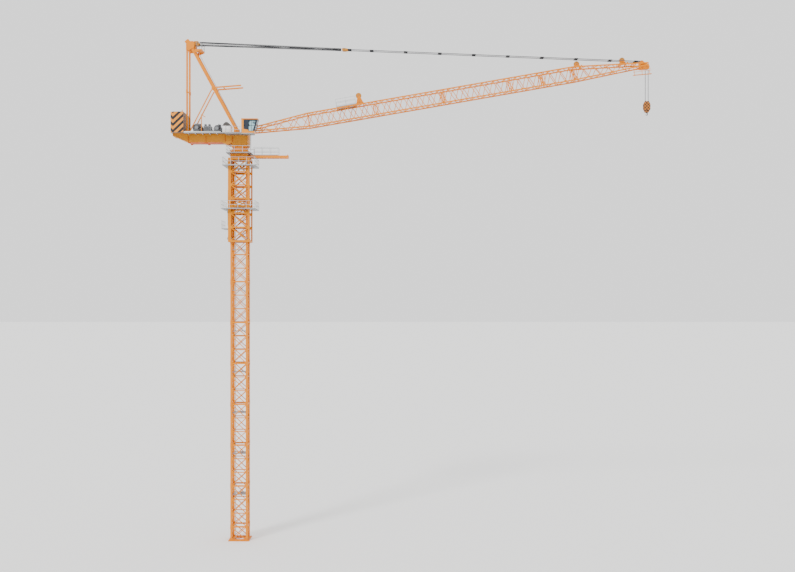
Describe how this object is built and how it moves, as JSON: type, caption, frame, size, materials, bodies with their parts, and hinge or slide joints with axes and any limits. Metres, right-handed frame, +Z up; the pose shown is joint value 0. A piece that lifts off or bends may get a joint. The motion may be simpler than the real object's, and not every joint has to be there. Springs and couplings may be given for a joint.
{
  "type": "luffing-jib tower crane, 1:2 scale model",
  "caption": "Lattice tower with climbing cage, turning machinery platform with A-frame, cab and counterweight, luffing lattice jib and hook block; 1:2 scale model.",
  "frame": {"origin": "centre of the foot frame's underside on the foundation", "axes": "+Z up the tower, +X along the jib at rest, -Y towards the operator's cab side"},
  "size_m": [34.115, 2.6, 35.62],
  "materials": {
    "orange_paint": "gloss paint",
    "galvanised": "zinc",
    "machinery_grey": "satin paint",
    "white_paint": "satin paint",
    "concrete_block": "painted stripes",
    "glass": "clear",
    "steel_rope": "greased wire rope",
    "sheave_paint": "gloss paint",
    "hook_paint": "painted squares",
    "black_steel": "forged",
    "cab_paint": "gloss paint"
  },
  "bodies": {
    "mast": {"base_frame": "orange_paint", "mast_side_right": "orange_paint", "mast_side_left": "orange_paint", "mast_side_front": "orange_paint", "mast_side_rear": "orange_paint", "mast_landings": "galvanised", "mast_ladder": "galvanised", "cage_side_right": "orange_paint", "cage_side_left": "orange_paint", "cage_end_frames": "orange_paint", "cage_platforms": "galvanised", "cage_railings": "galvanised", "climbing_jack": "machinery_grey", "ring_support": "orange_paint", "ring_platform": "galvanised", "climbing_beam": "orange_paint", "beam_walkway": "galvanised", "ring_railings": "galvanised"},
    "slewing_platform": {"slewing_ring": "machinery_grey", "platform_girder": "orange_paint", "machine_deck": "galvanised", "counterweights": "concrete_block", "a_frame_struts": "orange_paint", "rear_ties": "orange_paint", "a_frame_braces": "orange_paint", "backstops": "orange_paint", "a_frame_head": "orange_paint", "head_platform": "galvanised", "platform_ladders": "galvanised", "hoist_winch_frame": "machinery_grey", "luffing_winch_frame": "machinery_grey", "hydraulic_pack": "machinery_grey", "electrical_cabinet": "white_paint", "service_davit": "orange_paint", "cab_shell": "cab_paint", "cab_roof": "orange_paint", "cab_glass": "glass", "cab_platform": "orange_paint", "jib_foot_ears": "orange_paint"},
    "hoist_drum": {"hoist_drum": "machinery_grey"},
    "luffing_drum": {"luffing_drum": "machinery_grey"},
    "jib": {"jib_side_right": "orange_paint", "jib_side_left": "orange_paint", "jib_top_lacing": "orange_paint", "jib_bottom_lacing": "orange_paint", "jib_head": "orange_paint", "jib_platform": "galvanised", "jib_railing": "galvanised", "tip_basket": "orange_paint", "sheave_brackets": "orange_paint", "guide_sheaves": "sheave_paint"},
    "tip_sheave": {"tip_sheave": "sheave_paint"},
    "luffing_block": {"upper_pulley_block": "sheave_paint", "luffing_ropes": "steel_rope"},
    "pendant_lines": {"floating_block": "sheave_paint", "pendants": "steel_rope"},
    "hoist_rope": {"hoist_falls": "steel_rope"},
    "hook_block": {"hook_block": "hook_paint"},
    "hook": {"hook": "black_steel"}
  },
  "joints": [
    {"name": "slew", "type": "hinge", "parent": "mast", "child": "slewing_platform", "pos_m": [0, 0, 27.724], "axis": [0, 0, 1], "continuous": true},
    {"name": "jib_luff", "type": "hinge", "parent": "slewing_platform", "child": "jib", "pos_m": [0.625, 0, 29.15], "axis": [0, -1, 0], "range_deg": [0, 70]},
    {"name": "hoist_drum_turn", "type": "hinge", "parent": "slewing_platform", "child": "hoist_drum", "pos_m": [-3, 0, 29.325], "axis": [0, -1, 0], "continuous": true},
    {"name": "luffing_drum_turn", "type": "hinge", "parent": "slewing_platform", "child": "luffing_drum", "pos_m": [-1.57, 0, 29.275], "axis": [0, -1, 0], "continuous": true},
    {"name": "luffing_line_swing", "type": "hinge", "parent": "slewing_platform", "child": "luffing_block", "pos_m": [-3.3, 0, 35.41], "axis": [0, -1, 0], "range_deg": [0, 70.22]},
    {"name": "pendant_travel", "type": "slide", "parent": "luffing_block", "child": "pendant_lines", "axis": [0.9992, 0, -0.0407], "range_m": [-8.4764, 0], "deforming": ["luffing_ropes"]},
    {"name": "tip_sheave_turn", "type": "hinge", "parent": "jib", "child": "tip_sheave", "pos_m": [29.075, 0, 33.665], "axis": [0, -1, 0], "continuous": true},
    {"name": "hoist_rope_swing", "type": "hinge", "parent": "jib", "child": "hoist_rope", "pos_m": [29.075, 0, 33.665], "axis": [0, -1, 0], "range_deg": [-70, 0]},
    {"name": "hook_hoist", "type": "slide", "parent": "hoist_rope", "child": "hook_block", "axis": [0, 0, -1], "range_m": [-0.5, 29.9], "deforming": ["hoist_falls"]},
    {"name": "hook_swivel", "type": "hinge", "parent": "hook_block", "child": "hook", "pos_m": [29.075, 0, 30.53], "axis": [0, 0, 1], "continuous": true}
  ],
  "couplings": [
    {"joint": "luffing_line_swing", "follows": "jib_luff", "ratio": 1.003},
    {"joint": "pendant_travel", "follows": "jib_luff", "m_per_rad": -6.9372},
    {"joint": "hoist_rope_swing", "follows": "jib_luff", "ratio": -1}
  ]
}
